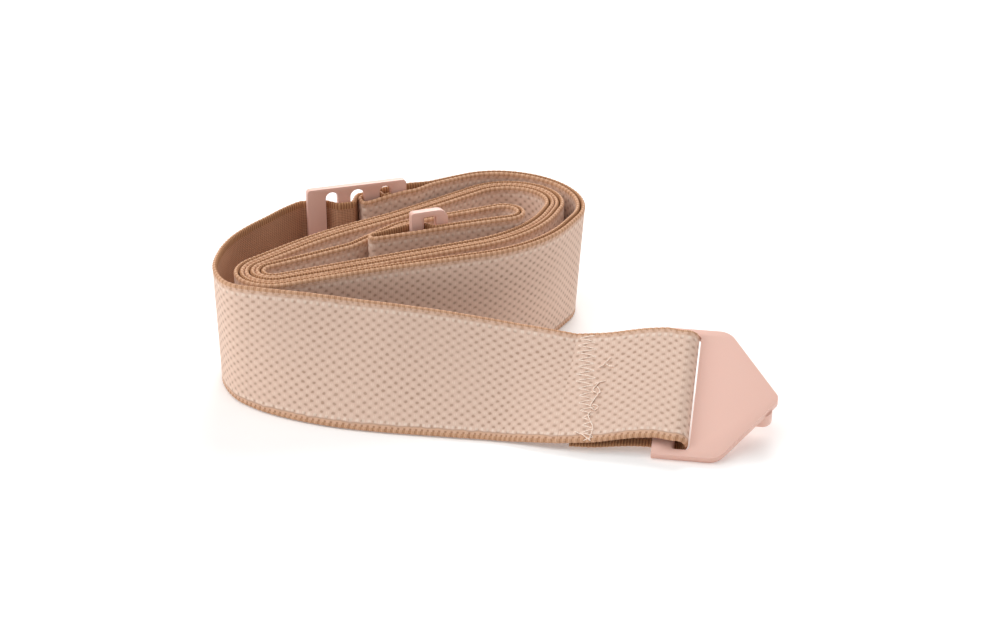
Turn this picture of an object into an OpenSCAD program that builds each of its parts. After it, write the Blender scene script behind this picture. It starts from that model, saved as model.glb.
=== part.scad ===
// Adjustable elastic hook belt, lying on its edge in a flattened coil.
// One long band of webbing runs from the front hook, through the slider, round the coil to
// the eye plate, and back again to the slider. Millimetres, +Z up, the floor at z = 0.

/* [Webbing] */
// Width of the elastic webbing
webbing_w = 30; // [20:0.5:40]
// Thickness of one layer of webbing
webbing_t = 1.0; // [0.7:0.05:1.3]
// Free space between two layers that lie together
layer_gap = 0.45; // [0.42:0.01:0.7]
// Length of the end that is turned back behind the front hook's bar and sewn
front_tail = 18.6; // [16:0.2:21]
// Room that lets the free run flex where it leaves the coil
flex_gap = 0.6; // [0.5:0.05:1]

/* [Hook plate] */
// Thickness of the hook plate
hook_t = 2; // [1.6:0.1:2.6]
// Width of the bar that the webbing folds round
hook_bar = 5; // [4.5:0.1:7]
// Free space on each side of the webbing in the slot
slot_play = 1.2; // [0.9:0.05:1.6]
// Rail that closes each end of the slot
hook_rail = 1.7; // [1.5:0.1:4]
// Height of the webbing above the lower end of the slot
hook_below = 0.7; // [0.5:0.1:1.5]
// How far the loose fold of webbing stands in front of the bar's middle
front_ease = 0.5; // [0:0.1:1]
// Length from the slot to the shoulders
hook_cheek = 6.4; // [5:0.1:8]
// Length of the pointed nose past the shoulders
hook_nose = 12.7; // [12:0.1:16]
// Rounding of the shoulders
shoulder_r = 4.5; // [1:0.5:5]
// Rounding of the tip
tip_r = 2; // [1.5:0.5:4]
// Width of the catch under the tip
catch_w = 8.6; // [5:0.2:9]
// Play of the eye plate in the throat of the catch
catch_play = 0.2; // [0.1:0.05:0.6]
// Rounding of the catch's corners at the tip
catch_r = 2; // [0.5:0.1:3]
// Thickness of the lip
catch_lip = 1.6; // [1:0.1:2.2]
// Length of the post that carries the lip
catch_post = 3; // [2:0.1:4]
// Reach of the lip past its post
catch_reach = 3.5; // [2:0.1:5]
// Distance from the tip back to the post
catch_inset = 1.6; // [1.4:0.1:4]

/* [Eye plate] */
// Thickness of the eye plate
eye_t = 2; // [1.6:0.1:2.6]
// Width of the bar inside the running loop of webbing
eye_bar = 3.4; // [3:0.1:5]
// Width of the bar that the hook takes hold of
eye_grip = 3; // [2.2:0.1:3.4]
// Rail that closes each end of the slot
eye_rail = 1.4; // [1:0.1:2.4]
// Height of the webbing above the lower end of the slot
eye_below = 1; // [0.5:0.1:2]
// Spare length of the slot above the webbing
eye_above = 2.2; // [0.5:0.1:3]
// Rounding of the gripped bar's corners
eye_corner_r = 2.5; // [1:0.5:4]

/* [Slider] */
// Thickness of the slider
slider_t = 1.8; // [1.5:0.1:2.4]
// Rail that closes each end of the slots
slider_rail = 1.1; // [1:0.1:3]
// Height of the webbing above the lower ends of the slots
slot_below = 0.7; // [0.5:0.1:1.5]
// Spare length of the slots above the webbing
slot_above = 2.9; // [2.2:0.1:4]
// Rise of the webbing from the cross bar to the far end
slider_skew = 1.4; // [0:0.1:1.6]
// Fall of the webbing from the near bar to where the outer turn begins
lead_drop = 0.5; // [0:0.1:0.8]
// Width of the end bar on the free run's side
near_bar = 4.7; // [4:0.1:7]
// Width of the bar that the free run crosses
cross_bar = 3.2; // [2.4:0.1:5]
// Width of the bar inside the sewn loop
loop_bar = 3.9; // [3.4:0.1:6]
// Width of the end bar on the coil's side
far_bar = 4; // [3:0.1:6]
// Rounding of the slider's corners
slider_corner_r = 1; // [0.5:0.1:2]

/* [Coil] */
// Length of the coil, which spaces all that lies on the floor
coil_span = 85; // [84:1:105]
// Radius of the innermost turn at the right end, at the middle of the doubled band
core_r = 4.4; // [4:0.1:4.6]
// Radius of the tight second-innermost turn at the right end
inner_r = 10.5; // [10.4:0.1:12]
// Loose space left between the outermost turn and the next at the right end
loose_top = 0.7; // [0.5:0.1:3]
// Radius of the innermost fold at the left end
fold_r = 2.9; // [2.6:0.1:3.2]
// Outward flare of the outermost turn at the right end, degrees
flare = 5.6; // [0:0.2:6]

/* [Stitching] */
// Width of the front zigzag seam
seam_w = 5; // [3:0.5:6]
// Height of one zigzag
seam_pitch = 2.4; // [1.5:0.1:4]
// Thickness of the sewing thread
thread_t = 0.4; // [0.3:0.05:0.6]

/* [Hidden] */
$fn = 32;

webbing_rose = "#cda995";
plastic_pink = "#e9b8a6";
thread_cream = "#e4d6bd";

// Running clearance between webbing and plastic, and the joint between two lengths of webbing
clear = 0.3;
butt = 0.06;
// How far a bar's corner lies inside the webbing's bend round it
inset = 0.3;

// Pitch of two layers, of two doubled bands, and half the doubled band's thickness
layer = webbing_t + layer_gap;
band = 2 * layer;
band_half = layer / 2 + webbing_t / 2;

// Places on the floor are given for a coil 85 mm long and spread with it
spread = coil_span / 85;
// Place of the lying belt, so that the origin is under the middle of it
lay = [2.5, 25] * spread;

// Hook plate
hook_slot = webbing_t + 2 * slot_play;
hook_slot_len = webbing_w + hook_below + clear;
hook_w = hook_slot_len + 2 * hook_rail;
hook_shoulder = hook_bar + hook_slot + hook_cheek;
hook_len = hook_shoulder + hook_nose;
hook_pivot = hook_bar - hook_t / 2;
hook_wrap = hook_t / 2 + clear + webbing_t / 2;
hook_lift = hook_rail + hook_below;
front_fold_r = hook_wrap + front_ease;

// Eye plate, whose slot takes the webbing and the lip of the hook's catch
catch_gap = eye_t + catch_play;
eye_slot = webbing_t + catch_lip + 0.4;
eye_slot_len = webbing_w + eye_below + eye_above;
eye_w = eye_slot_len + 2 * eye_rail;
eye_len = eye_bar + eye_slot + eye_grip;
eye_pivot = eye_bar - eye_t / 2;
eye_wrap = eye_t / 2 + clear + webbing_t / 2;
eye_lift = eye_rail + eye_below;

// Slider, from its near end bar to its far one
slot_1 = webbing_t + 2.2;
slot_2 = 2 * webbing_t + 1.7;
slot_3 = webbing_t + 2.1;
edge_1 = near_bar + slot_1;
edge_2 = edge_1 + cross_bar;
edge_3 = edge_2 + slot_2;
edge_4 = edge_3 + loop_bar;
edge_5 = edge_4 + slot_3;
slider_len = edge_5 + far_bar;
slider_slot_len = webbing_w + slot_below + slot_above;
slider_w = slider_slot_len + 2 * slider_rail;
slider_lift = slider_rail + slot_below;
slider_half = slider_t / 2;
bend_r = clear + webbing_t / 2 + inset;
near_side = slider_half + clear + webbing_t / 2;
far_side = near_side + layer;
lead_in = 5;
weave_in = 0.8;
run_out = 0.8;

// Frames of the front hook and of the slider: place, yaw and backward lean
front_lean = 60;
front_place = [33.6, -73.5] * spread;
front_frame = [[front_place.x, front_place.y, hook_t / 2 * sin(front_lean)], -10, front_lean];
slider_place = [-48.5, 0.2] * spread;
slider_frame = [[slider_place.x, slider_place.y, 0], 19, 0];

// Angle and length between the rings of a bend at most, and the longest step on a straight
ring_step = 15;
bend_len = 3.5;
straight_step = 7;

// Flat routes: each peg is [x, y, radius], positive where the route turns left round it
function heading(a, b) =
    let (d = [b.x - a.x, b.y - a.y])
    atan2(d.y, d.x) - asin((b.z - a.z) / norm(d));
function wrap(a) = let (w = a - 360 * floor(a / 360)) w > 359 ? 0 : w;
function turn(from, to, r) = r >= 0 ? wrap(to - from) : -wrap(from - to);
function on_peg(p, a) = [p.x + p.z * sin(a), p.y - p.z * cos(a), a];
function peg_route(pegs, start) =
    let (
        last = len(pegs) - 1,
        runs = [for (i = [0:last - 1]) heading(pegs[i], pegs[i + 1])]
    )
    concat(
        [for (i = [0:last - 1])
            let (
                from = i == 0 ? start : runs[i - 1],
                sweep = turn(from, runs[i], pegs[i].z),
                bend_step = min(ring_step, bend_len / max(abs(pegs[i].z), 0.01) * 180 / PI),
                n = pegs[i].z == 0 ? 0 : max(1, ceil(abs(sweep) / bend_step))
            )
            for (k = [0:n])
                on_peg(pegs[i], n == 0 ? runs[i] : from + sweep * k / n)],
        [on_peg(pegs[last], runs[last - 1])]);

// The same route with no step longer than straight_step
function stepped(route) = concat(
    [for (i = [0:len(route) - 2])
        let (
            a = route[i],
            b = route[i + 1],
            n = max(1, ceil(norm([b.x - a.x, b.y - a.y]) / straight_step))
        )
        for (k = [0:n - 1]) [a.x + (b.x - a.x) * k / n, a.y + (b.y - a.y) * k / n, a.z]],
    [route[len(route) - 1]]);
function lengths(route) =
    [for (i = 0, s = 0; i < len(route);
        s = s + (i + 1 < len(route)
            ? norm([route[i + 1].x - route[i].x, route[i + 1].y - route[i].y]) : 0),
        i = i + 1) s];
function left_of(a) = [-sin(a), cos(a)];
function beside(p, d) = [p.x, p.y] + d * left_of(p.z);
function smooth(t) = let (c = max(0, min(1, t))) c * c * (3 - 2 * c);

// Outline of a band of webbing seen along its width
function band_outline(route) = concat(
    [for (p = route) beside(p, webbing_t / 2)],
    [for (i = [len(route) - 1:-1:0]) beside(route[i], -webbing_t / 2)]);

// A curve through points chosen by hand, each with its lift and lean, in 4 steps a span
function spline(p, i, t) =
    0.5 * (2 * p[i] + (p[i + 1] - p[i - 1]) * t
        + (2 * p[i - 1] - 5 * p[i] + 4 * p[i + 1] - p[i + 2]) * t * t
        + (3 * p[i] - p[i - 1] - 3 * p[i + 1] + p[i + 2]) * t * t * t);
function spline_slope(p, i, t) =
    0.5 * ((p[i + 1] - p[i - 1])
        + 2 * (2 * p[i - 1] - 5 * p[i] + 4 * p[i + 1] - p[i + 2]) * t
        + 3 * (3 * p[i] - p[i - 1] - 3 * p[i + 1] + p[i + 2]) * t * t);
span_steps = 4;
function curve(p, first, last) = concat(
    [for (i = [first:last - 1]) for (k = [0:span_steps - 1])
        curve_ring(p, i, k / span_steps)],
    [curve_ring(p, last - 1, 1)]);
function curve_ring(p, i, t) =
    let (q = spline(p, i, t), s = spline_slope(p, i, t))
    [q[0], q[1], atan2(s[1], s[0]), max(0, q[2]), q[3]];

// Corners of the webbing's section on a ring [x, y, heading, lift, lean to the left]
function ring_corners(r) =
    let (
        n = left_of(r.z),
        up = [n.x * sin(r[4]), n.y * sin(r[4]), cos(r[4])],
        side = [n.x * cos(r[4]), n.y * cos(r[4]), -sin(r[4])] * webbing_t / 2,
        base = [r.x, r.y, r[3] + webbing_t / 2 * abs(sin(r[4]))],
        top = base + webbing_w * up
    )
    [base - side, base + side, top + side, top - side];

// A band of webbing swept through its rings
module swept_band(rings) {
    n = len(rings);
    points = [for (r = rings) each ring_corners(r)];
    sides = [for (i = [0:n - 2]) for (k = [0:3])
        let (a = 4 * i + k, b = 4 * i + (k + 1) % 4)
        each [[a, a + 4, b], [b, a + 4, b + 4]]];
    ends = [[0, 1, 2], [0, 2, 3],
        [4 * n - 4, 4 * n - 2, 4 * n - 3], [4 * n - 4, 4 * n - 1, 4 * n - 2]];
    polyhedron(points, concat(sides, ends), convexity = 10);
}

module in_frame(frame) {
    translate(frame[0]) rotate([0, 0, frame[1]]) rotate([-frame[2], 0, 0]) children();
}
module laid() {
    translate([lay.x, lay.y, 0]) children();
}
// A point of a frame's flat route, and where the webbing's lower edge lies there
function in_plan(frame, u, y, v) =
    let (
        a = frame[1],
        across = y * cos(frame[2]) + v * sin(frame[2])
    )
    [frame[0].x + u * cos(a) - across * sin(a),
        frame[0].y + u * sin(a) + across * cos(a),
        frame[0].z + v * cos(frame[2]) - y * sin(frame[2])];

// The free run and the outer turn: [x, y, lift, lean towards the coil] from slider to hook
slider_start = in_plan(slider_frame, -lead_in, near_side, slider_lift);
slider_inside = in_plan(slider_frame, 0, near_side, slider_lift);
slider_out = in_plan(slider_frame, -lead_in - 2, near_side - 0.5, slider_lift);
run_end_u = -front_tail - 2.5;
run_end = in_plan(front_frame, run_end_u, -layer / 2, hook_lift);
run_past = in_plan(front_frame, run_end_u + 9, -layer / 2, hook_lift);
lean_lift = webbing_t / 2 * sin(front_lean);
// Outward growth of the coil when its layers are thicker than the first ones
coil_growth = 3 * (band - 2.9);
coil_middle = [-20, -14];
function grown(p) =
    let (d = [p[0], p[1]] - coil_middle, g = coil_growth / norm(d))
    [p[0] * spread + g * d.x, p[1] * spread + g * d.y, p[2], p[3]];
outer_points = [
    [slider_inside.x, slider_inside.y, slider_lift, 0],
    [slider_start.x, slider_start.y, slider_lift - lead_drop, 0],
    [slider_out.x, slider_out.y, slider_lift - 1.4 * lead_drop, 0],
    grown([-58.1, -5.4, 0.8, 0]),
    grown([-61.8, -10.5, 0.4, -0.5]),
    grown([-64.9, -16.9, 0.1, -1]),
    grown([-66.7, -25.1, 0, -1]),
    grown([-66.5, -35, 0, -1]),
    grown([-63, -43.6, 0, 0]),
    grown([-57.6, -49.4, 0, 7]),
    grown([-50, -54.2, 0, 16]),
    grown([-39.5, -58.5, 0, 26]),
    grown([-28, -61.3, 0, 33]),
    grown([-14, -63.6, 0, 43]),
    grown([0, -65.9, 0, 52]),
    [run_end.x, run_end.y, run_end.z - lean_lift, front_lean],
    [run_past.x, run_past.y, run_past.z - lean_lift, front_lean],
];
flex_at = 8;
run_last = len(outer_points) - 2;
turn_rings = curve(outer_points, 1, flex_at);
run_rings = let (rings = curve(outer_points, flex_at, run_last), r = rings[0])
    concat([[r.x + flex_gap * cos(r.z), r.y + flex_gap * sin(r.z), r.z, r[3], r[4]]],
        [for (i = [1:len(rings) - 1]) rings[i]]);

// The doubled band: out of the slider, three turns round the coil and in to the eye plate
far_end = in_plan(slider_frame, slider_len + run_out, 0, 0);
slider_yaw = slider_frame[1];
swing_r = 4;
swing = [far_end.x, far_end.y] + swing_r * left_of(slider_yaw);
right_top = [1.8, 7] * spread;
right_end = [1.9, 7.6] * spread;
right_front = [-20.1 * spread, 11 * spread, inner_r + 22 * spread];
left_end = [-52.5, -35.9] * spread;
front_loose = 0.1;
turn_pitch = band + 0.06;
// The bulge is one tangent run past the left end's outermost turn, and the dip one past the bulge
back_bulge = [20.4 * spread, -84.1 * spread, fold_r + 2 * turn_pitch + 86.18 * spread];
back_dip = [-53.7 * spread, 30.5 * spread, 136.1 * spread - back_bulge.z];
top_r = inner_r + 2 * turn_pitch + loose_top;
coil_turns = 3;
function turn_pegs(i) = // along the back to the right end, along the front to the left end
    let (in = coil_turns - 1 - i)
    [
        if (i > 0) [back_bulge.x, back_bulge.y, -(back_bulge.z - (i - 1) * turn_pitch)],
        if (i > 0) [back_dip.x, back_dip.y, back_dip.z + (i - 1) * turn_pitch],
        if (i > 0) [right_end.x, right_end.y, -(inner_r + in * turn_pitch)],
        [right_front.x, right_front.y,
            -(right_front.z + in * turn_pitch + (i == 0 ? front_loose : 0))],
        [left_end.x, left_end.y, -(fold_r + in * turn_pitch)],
    ];
coil_pegs = concat(
    [[swing.x, swing.y, swing_r], [right_top.x, right_top.y, -top_r]],
    [for (i = [0:coil_turns - 1]) each turn_pegs(i)],
    [
        [-42.4, -14.4, 10] * spread,
        [-20, -17, -8.5] * spread,
        [-0.8 * spread, -5.15 * spread, -core_r],
        [-13.6, -15, 0] * spread,
    ]);
coil_route = stepped(peg_route(coil_pegs, slider_yaw));
coil_s = lengths(coil_route);
coil_len = coil_s[len(coil_s) - 1];
coil_last = coil_route[len(coil_route) - 1];
inner_yaw = coil_last.z + 180;

// The two layers part at the slider, rise over its rail and the eye's, and flare once
part_len = 8;
slider_rise = 62;
eye_rise = 105;
flare_at = 78;
flare_span = 58;
function apart(s, side) =
    let (start = side > 0 ? far_side : near_side)
    layer / 2 + (start - layer / 2) * (1 - smooth(s / part_len));
function lift_at(s) =
    (slider_lift + slider_skew) * (1 - smooth(s / slider_rise))
    + eye_lift * smooth((s - coil_len + eye_rise) / eye_rise);
function flare_of(s) =
    abs(s - flare_at) < flare_span ? flare * (1 + cos(180 * (s - flare_at) / flare_span)) / 2 : 0;
function coil_rings(side) =
    [for (i = [0:len(coil_route) - 1])
        let (p = beside(coil_route[i], side * apart(coil_s[i], side)))
        [p.x, p.y, coil_route[i].z, lift_at(coil_s[i]), flare_of(coil_s[i])]];

// Least gap of the coil to itself, at the floor and at the top edge, measured on points
gap_window = 14;
function edge_points(side, up) =
    [for (r = coil_rings(side)) let (c = ring_corners(r)) (c[up] + c[up + 1]) / 2];
function least_gap(up) =
    let (
        a = edge_points(1, up),
        b = edge_points(-1, up),
        n = len(a)
    )
    min([for (i = [0:n - 2]) for (j = [0:n - 2])
        min(
            abs(coil_s[i] - coil_s[j]) > gap_window ? off_step(a[i], a[j], a[j + 1]) : 99,
            abs(coil_s[i] - coil_s[j]) > gap_window ? off_step(b[i], b[j], b[j + 1]) : 99,
            off_step(a[i], b[j], b[j + 1]))]) - webbing_t;
function off_step(p, a, b) =
    let (
        q = [p.x - a.x, p.y - a.y],
        d = [b.x - a.x, b.y - a.y],
        t = max(0, min(1, q * d / max(d * d, 1e-9)))
    )
    norm(q - t * d);
echo(least_coil_gap = [least_gap(0), least_gap(2)], doubled_length = coil_len);

inner_frame = [[coil_last.x, coil_last.y, 0], inner_yaw, 0];
// The eye plate lies behind the doubled band, its bar in a slack loop of webbing
plate_back = 7.8;
slack = 11;
plate_off = layer / 2 + webbing_t / 2 + clear + 0.05 + eye_t / 2;
inner_bight_r = 1.2;
inner_loop_route = peg_route([
    [-butt, -layer / 2, 0],
    [-plate_back - slack + inner_bight_r, inner_bight_r - layer / 2, -inner_bight_r],
    [-plate_back + inset, plate_off + eye_t / 2 - inset, -bend_r],
    [-plate_back + eye_pivot, plate_off, -eye_wrap],
    [-plate_back + eye_bar + eye_slot - 0.2, layer / 2 + bend_r, bend_r],
    [-butt, layer / 2, 0],
], 180);

front_fold = [hook_bar, -front_ease, front_fold_r];
front_loop_route = peg_route([
    [run_end_u + 2 * butt, -layer / 2, 0],
    front_fold,
    [-front_tail, layer / 2, 0],
], 0);
front_heading = heading([run_end_u, -layer / 2, 0], front_fold);

weave_route = peg_route([
    [-weave_in, near_side, 0],
    [near_bar - inset, slider_half - inset, -bend_r],
    [edge_1 + inset, -slider_half + inset, bend_r],
    [edge_2 - inset, -slider_half + inset, bend_r],
    [edge_3 - inset, far_side - bend_r, -bend_r],
    [slider_len + run_out - butt, far_side, 0],
], 0);

// The sewn loop: in front of the far bar, round the loop bar, and sewn to itself in the third slot
loop_start = [slider_len + run_out - 2 * butt, -near_side, 0];
loop_fold = [edge_3 + inset, bend_r - far_side, -bend_r];
loop_heading = heading(loop_start, loop_fold);
loop_route = peg_route([
    loop_start,
    loop_fold,
    [edge_3 + inset, slider_half - inset, -bend_r],
    [edge_4 - inset, slider_half - inset, -bend_r],
    [edge_5 - 1.2, -0.1, bend_r],
    [edge_5 - clear, -webbing_t - 0.1, 0],
], 180);

// Rings of a route in the slider, which rises from the cross bar to the far end
function slider_rings(route) =
    [for (p = stepped(route))
        let (q = in_plan(slider_frame, p.x, p.y, 0))
        [q.x, q.y, p.z + slider_yaw,
            slider_lift + slider_skew * smooth((p.x - edge_2) / (slider_len - edge_2)), 0]];

// A corner of an outline as an arc of radius r
function corner(a, p, b, r) =
    let (
        u = (a - p) / norm(a - p),
        v = (b - p) / norm(b - p),
        half = acos(u * v) / 2,
        m = (u + v) / norm(u + v),
        c = p + m * r / sin(half),
        from = p + u * r / tan(half) - c,
        to = p + v * r / tan(half) - c,
        start = atan2(from.y, from.x),
        sweep = atan2(from.x * to.y - from.y * to.x, from * to),
        n = 6
    )
    r == 0 ? [p] : [for (k = [0:n]) c + r * [cos(start + sweep * k / n), sin(start + sweep * k / n)]];
function rounded(points, radii) =
    let (n = len(points))
    [for (i = [0:n - 1]) each corner(points[(i + n - 1) % n], points[i], points[(i + 1) % n], radii[i])];

module slot(width, length, low_r, high_r) {
    polygon(rounded([[0, 0], [width, 0], [width, length], [0, length]],
        [low_r, low_r, high_r, high_r]));
}
// A flat moulding drawn in its own plane and stood on its lower edge
module upright(thickness) {
    rotate([90, 0, 0]) linear_extrude(thickness, center = true) children();
}

slot_corner_r = 0.8;
// How far a plate's flat runs over the round edge of its bar
bar_lap = 0.2;
module hook_plate() {
    upright(hook_t) difference() {
        polygon(rounded(
            [[0, 0], [hook_shoulder, 0], [hook_len, hook_w / 2], [hook_shoulder, hook_w], [0, hook_w]],
            [0, shoulder_r, tip_r, shoulder_r, 0]));
        translate([hook_pivot + bar_lap, hook_rail])
            slot(hook_slot + hook_t / 2 - bar_lap, hook_slot_len, slot_corner_r, slot_corner_r);
    }
    translate([hook_pivot, 0, hook_rail - bar_lap])
        cylinder(d = hook_t, h = hook_slot_len + 2 * bar_lap);
    intersection() {
        translate([0, 0, hook_w / 2 - catch_w / 2]) linear_extrude(catch_w) catch_profile();
        translate([0, hook_t + catch_gap + catch_lip, hook_w / 2 - catch_w / 2]) rotate([90, 0, 0])
            linear_extrude(2 * hook_t + catch_gap + catch_lip)
            polygon(rounded([[0, 0], [hook_len - catch_inset, 0],
                [hook_len - catch_inset, catch_w], [0, catch_w]], [0, catch_r, catch_r, 0]));
    }
}
module eye() {
    upright(eye_t) difference() {
        polygon(rounded([[0, 0], [eye_len, 0], [eye_len, eye_w], [0, eye_w]],
            [slot_corner_r, eye_corner_r, eye_corner_r, slot_corner_r]));
        translate([eye_pivot + bar_lap, eye_rail])
            slot(eye_slot + eye_t / 2 - bar_lap, eye_slot_len, slot_corner_r, slot_corner_r);
    }
    translate([eye_pivot, 0, eye_rail - bar_lap])
        cylinder(d = eye_t, h = eye_slot_len + 2 * bar_lap);
}
// Post and rearward lip under the tip
module catch_profile() {
    face = hook_t / 2;
    post = hook_len - catch_inset;
    polygon([
        [post, face - hook_t / 4], [post, face + catch_gap + catch_lip],
        [post - catch_post - catch_reach, face + catch_gap + catch_lip],
        [post - catch_post - catch_reach, face + catch_gap],
        [post - catch_post, face + catch_gap], [post - catch_post, face - hook_t / 4],
    ]);
}

// Zigzag thread across the webbing, lying on a face at distance y from the frame's plane
module zigzag(from_u, y, width) {
    count = 2 * floor(webbing_w / seam_pitch / 2);
    rise = webbing_w / count;
    knots = [for (k = [0:count]) [from_u + (k % 2) * width, k * rise]];
    half = [thread_t * 1.2, 0];
    inside = [for (k = knots) [k.x, max(thread_t, min(webbing_w - thread_t, k.y))]];
    translate([0, y, 0]) rotate([90, 0, 0]) linear_extrude(thread_t)
        polygon(concat([for (k = inside) k + half],
            [for (i = [count:-1:0]) inside[i] - half]));
}

module front_hook_plate() {
    color(plastic_pink) laid() in_frame(front_frame) hook_plate();
}
module eye_plate() {
    color(plastic_pink) laid() in_frame(inner_frame)
        translate([-plate_back, plate_off, 0]) eye();
}
module front_loop() {
    color(webbing_rose) laid() in_frame(front_frame) translate([0, 0, hook_lift])
        linear_extrude(webbing_w) polygon(band_outline(front_loop_route));
}
module front_seam() {
    color(thread_cream) laid() in_frame(front_frame)
        translate([run_end_u, -layer / 2, hook_lift]) rotate([0, 0, front_heading])
            zigzag(3, -webbing_t / 2 - 0.01, seam_w);
}
module free_run() {
    color(webbing_rose) laid() swept_band(run_rings);
}
module outer_turn() {
    color(webbing_rose) laid() swept_band(turn_rings);
}
module slider_plate() {
    slots = [[near_bar, slot_1], [edge_2, slot_2], [edge_4, slot_3]];
    color(plastic_pink) laid() in_frame(slider_frame) upright(slider_t) difference() {
        polygon(rounded([[0, 0], [slider_len, 0], [slider_len, slider_w], [0, slider_w]],
            [for (i = [0:3]) slider_corner_r]));
        for (s = slots) translate([s[0], slider_rail])
            slot(s[1], slider_slot_len, 0.2, s[1] / 2 - 0.02);
    }
}
module slider_lead() {
    from = in_plan(slider_frame, -weave_in - butt, near_side, slider_lift);
    to = in_plan(slider_frame, -lead_in + butt, near_side, slider_lift - lead_drop);
    color(webbing_rose) laid()
        swept_band([for (p = [from, to]) [p.x, p.y, slider_yaw + 180, p.z, 0]]);
}
module slider_weave() {
    color(webbing_rose) laid() swept_band(slider_rings(weave_route));
}
module slider_loop() {
    color(webbing_rose) laid() swept_band(slider_rings(loop_route));
}
module slider_seam() {
    color(thread_cream) laid() in_frame(slider_frame)
        translate([loop_start.x, loop_start.y, slider_lift + slider_skew / 2])
            rotate([0, 0, loop_heading - 180])
                zigzag(edge_4 - loop_start.x, -webbing_t / 2 - 0.01, slot_3 - 2 * clear);
}
module coil_outer_layer() {
    color(webbing_rose) laid() swept_band(coil_rings(1));
}
module coil_inner_layer() {
    color(webbing_rose) laid() swept_band(coil_rings(-1));
}
module inner_loop() {
    color(webbing_rose) laid() in_frame(inner_frame) translate([0, 0, eye_lift])
        linear_extrude(webbing_w) polygon(band_outline(inner_loop_route));
}

front_hook_plate();
front_loop();
front_seam();
free_run();
outer_turn();
slider_plate();
slider_lead();
slider_weave();
slider_loop();
slider_seam();
coil_outer_layer();
coil_inner_layer();
inner_loop();
eye_plate();
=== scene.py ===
import math
import bpy
import numpy as np
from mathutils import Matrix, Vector


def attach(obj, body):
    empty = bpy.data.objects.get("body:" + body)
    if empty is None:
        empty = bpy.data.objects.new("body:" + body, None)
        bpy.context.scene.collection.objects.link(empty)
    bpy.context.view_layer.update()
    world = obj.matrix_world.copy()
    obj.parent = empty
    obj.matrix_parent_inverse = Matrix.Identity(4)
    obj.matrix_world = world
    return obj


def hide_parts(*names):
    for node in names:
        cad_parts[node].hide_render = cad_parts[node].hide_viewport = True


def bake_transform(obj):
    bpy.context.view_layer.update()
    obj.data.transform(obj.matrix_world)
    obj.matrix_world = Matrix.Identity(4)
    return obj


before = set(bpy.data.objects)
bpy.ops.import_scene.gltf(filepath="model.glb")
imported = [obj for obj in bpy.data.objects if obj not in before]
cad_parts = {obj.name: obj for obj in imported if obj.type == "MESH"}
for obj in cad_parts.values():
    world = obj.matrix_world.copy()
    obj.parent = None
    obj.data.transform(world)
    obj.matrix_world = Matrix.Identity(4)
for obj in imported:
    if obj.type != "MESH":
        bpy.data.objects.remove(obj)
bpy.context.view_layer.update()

mm = 0.001
print("frame loaded:", len(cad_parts), "nodes")

# the strap in millimetres: its layers lie gap apart, and its mesh has a ring of points every ring
webbing = {
    "width": 30, "thick": 1.0, "gap": 0.25, "ring": 0.23,
    "bead": 1.38, "swell": 0.035, "lift": 0.1, "lowest": 0.02,
    "longWave": 23, "longShare": 0.6, "shortWave": 9.1, "shortShare": 0.4,
}
halfWide = webbing["width"] / 2
halfThick = webbing["thick"] / 2
layer = webbing["thick"] + webbing["gap"]
band = 2 * layer
fullTurn = 2 * math.pi


# one socket of a node tree; numbers and other sockets combine with it by plain operators
class Wire:
    def __init__(self, tree, socket):
        self.tree = tree
        self.socket = socket

    def node(self, kind, settings=None, sockets=None, out=0):
        made = self.tree.nodes.new(kind)
        for key, value in (settings or {}).items():
            setattr(made, key, value)
        for key, value in (sockets or {}).items():
            if isinstance(value, Wire):
                self.tree.links.new(value.socket, made.inputs[key])
            else:
                made.inputs[key].default_value = value
        return Wire(self.tree, made.outputs[out])

    def maths(self, operation, *others):
        return self.node("ShaderNodeMath", {"operation": operation}, dict(enumerate((self, *others))))

    def __add__(self, other):
        return self.maths("ADD", other)

    __radd__ = __add__

    def __mul__(self, other):
        return self.maths("MULTIPLY", other)

    __rmul__ = __mul__

    def __sub__(self, other):
        return self.maths("SUBTRACT", other)

    def __rsub__(self, other):
        return self * -1 + other

    # 1 at 0 and at each full turn, 0 half way between
    def wave(self):
        return self.maths("COSINE") * 0.5 + 0.5

    def size(self):
        return self.maths("ABSOLUTE")

    # 0 at low, 1 at high, smooth between, also with low above high
    def ease(self, low, high):
        return self.node(
            "ShaderNodeMapRange", {"interpolation_type": "SMOOTHSTEP"},
            {"Value": self, "From Min": low, "From Max": high, "To Min": 0.0, "To Max": 1.0})

    # first colour where this is 0, second where it is 1
    def tint(self, first, second):
        return self.node(
            "ShaderNodeMix", {"data_type": "RGBA"}, {0: self, 6: first, 7: second}, out=2)

    def noise(self, scale, detail=2.0):
        return self.node("ShaderNodeTexNoise", None, {"Vector": self, "Scale": scale, "Detail": detail})


def colour(red, green, blue):
    def linear(c):
        c = c / 255
        return c / 12.92 if c <= 0.04045 else ((c + 0.055) / 1.055) ** 2.4
    return (linear(red), linear(green), linear(blue), 1.0)


def newMaterial(name):
    material = bpy.data.materials.new(name)
    material.use_nodes = True
    tree = material.node_tree
    shader = tree.nodes["Principled BSDF"]
    return material, Wire(tree, None), shader


def feed(wire, shader, socket):
    wire.tree.links.new(wire.socket, shader.inputs[socket])


# bump of a height, with the look's depth in millimetres, and the look's gloss all over
def finishSurface(shader, height, look):
    ridges = height.node(
        "ShaderNodeBump", None, {"Strength": look["bump"], "Distance": look["depth"] * mm, "Height": height})
    feed(ridges, shader, "Normal")
    shader.inputs["Roughness"].default_value = look["roughness"]
    shader.inputs["Specular IOR Level"].default_value = look["specular"]


# the strap's own measure: along and across, both in millimetres
def strapCoordinates(start):
    uv = start.node("ShaderNodeUVMap", {"uv_map": "strap"})
    along = start.node("ShaderNodeSeparateXYZ", None, {0: uv}) * 1000
    across = start.node("ShaderNodeSeparateXYZ", None, {0: uv}, out=1) * 1000
    return uv, along, across


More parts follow.
